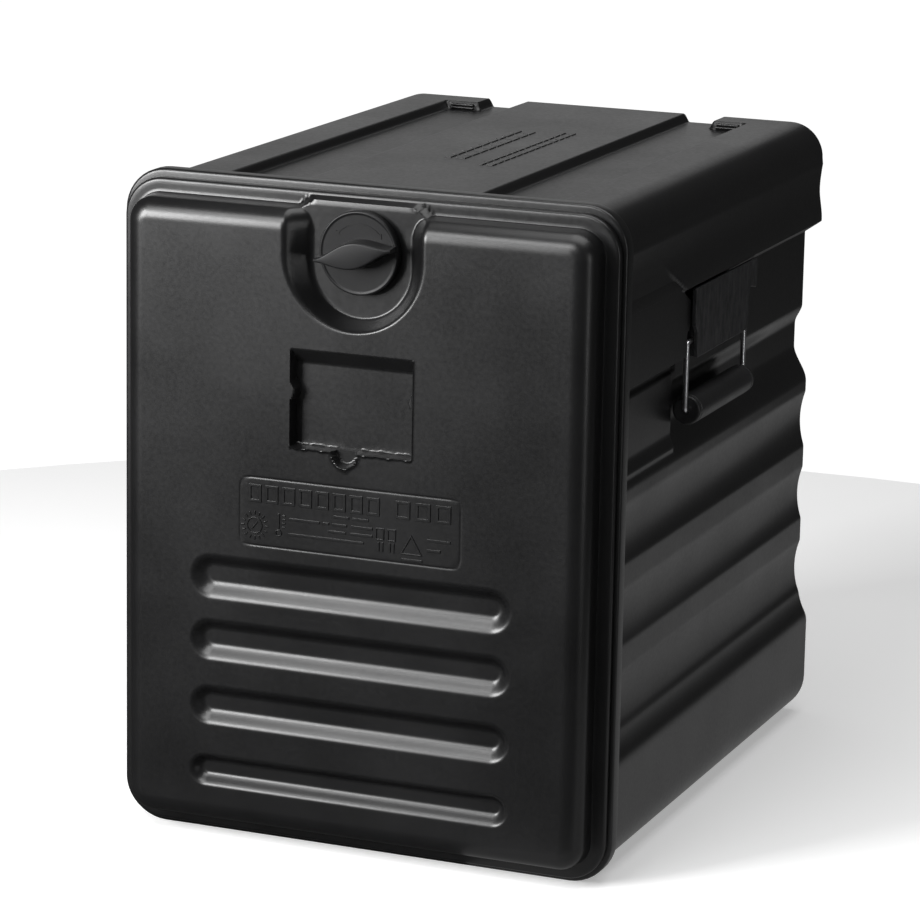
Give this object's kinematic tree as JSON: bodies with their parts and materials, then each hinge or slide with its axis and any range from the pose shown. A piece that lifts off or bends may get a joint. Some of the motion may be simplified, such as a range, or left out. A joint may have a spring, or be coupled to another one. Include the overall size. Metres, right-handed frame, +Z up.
{
  "type": "insulated food carrier",
  "caption": "Front-loading insulated food carrier with foam-filled double walls, hook-on door with rotary latch, moulded pan runners and folding side handles.",
  "frame": {"origin": "centre of the bounding box's footprint, on the floor", "axes": "+Z up, -Y towards the door, +X to the right as seen from the front"},
  "size_m": [0.47, 0.626, 0.598],
  "materials": {
    "shell_plastic": "satin",
    "liner_plastic": "satin",
    "knob_plastic": "satin",
    "grip_plastic": "matte",
    "seal_rubber": "matte",
    "foam": "matte",
    "bearing_plastic": "satin",
    "bright_wire": "polished",
    "plate_steel": "satin"
  },
  "bodies": {
    "carrier": {"outer_shell": "shell_plastic", "body_foam": "foam", "inner_liner": "liner_plastic", "latch_keeper": "plate_steel", "keeper_screw_left": "plate_steel", "keeper_screw_right": "plate_steel", "hook_socket_left": "liner_plastic", "hook_socket_right": "liner_plastic", "handle_bracket_left": "knob_plastic", "handle_bracket_right": "knob_plastic"},
    "door": {"door_outer_shell": "shell_plastic", "door_inner_shell": "liner_plastic", "door_foam": "foam", "door_seal": "seal_rubber", "latch_bush": "bearing_plastic", "door_hook_left": "plate_steel", "door_hook_right": "plate_steel", "hook_screw_left_1": "plate_steel", "hook_screw_left_2": "plate_steel", "hook_screw_right_1": "plate_steel", "hook_screw_right_2": "plate_steel"},
    "latch": {"knob": "knob_plastic", "knob_shaft": "plate_steel", "latch_cam": "plate_steel", "cam_screw": "plate_steel"},
    "handle_left": {"bail_wire_left": "bright_wire", "handle_grip_left": "grip_plastic"},
    "handle_right": {"bail_wire_right": "bright_wire", "handle_grip_right": "grip_plastic"}
  },
  "joints": [
    {"name": "door_tilt", "type": "hinge", "parent": "carrier", "child": "door", "pos_m": [0, -0.26825, 0.00625], "axis": [1, 0, 0], "range_deg": [0, 30]},
    {"name": "knob_turn", "type": "hinge", "parent": "door", "child": "latch", "pos_m": [0, -0.27, 0.5435], "axis": [0, 1, 0], "range_deg": [0, 101]},
    {"name": "handle_left_swing", "type": "hinge", "parent": "carrier", "child": "handle_left", "pos_m": [-0.221, 0.01, 0.445], "axis": [0, 1, 0], "range_deg": [0, 120]},
    {"name": "handle_right_swing", "type": "hinge", "parent": "carrier", "child": "handle_right", "pos_m": [0.221, 0.01, 0.445], "axis": [0, -1, 0], "range_deg": [0, 120]}
  ]
}
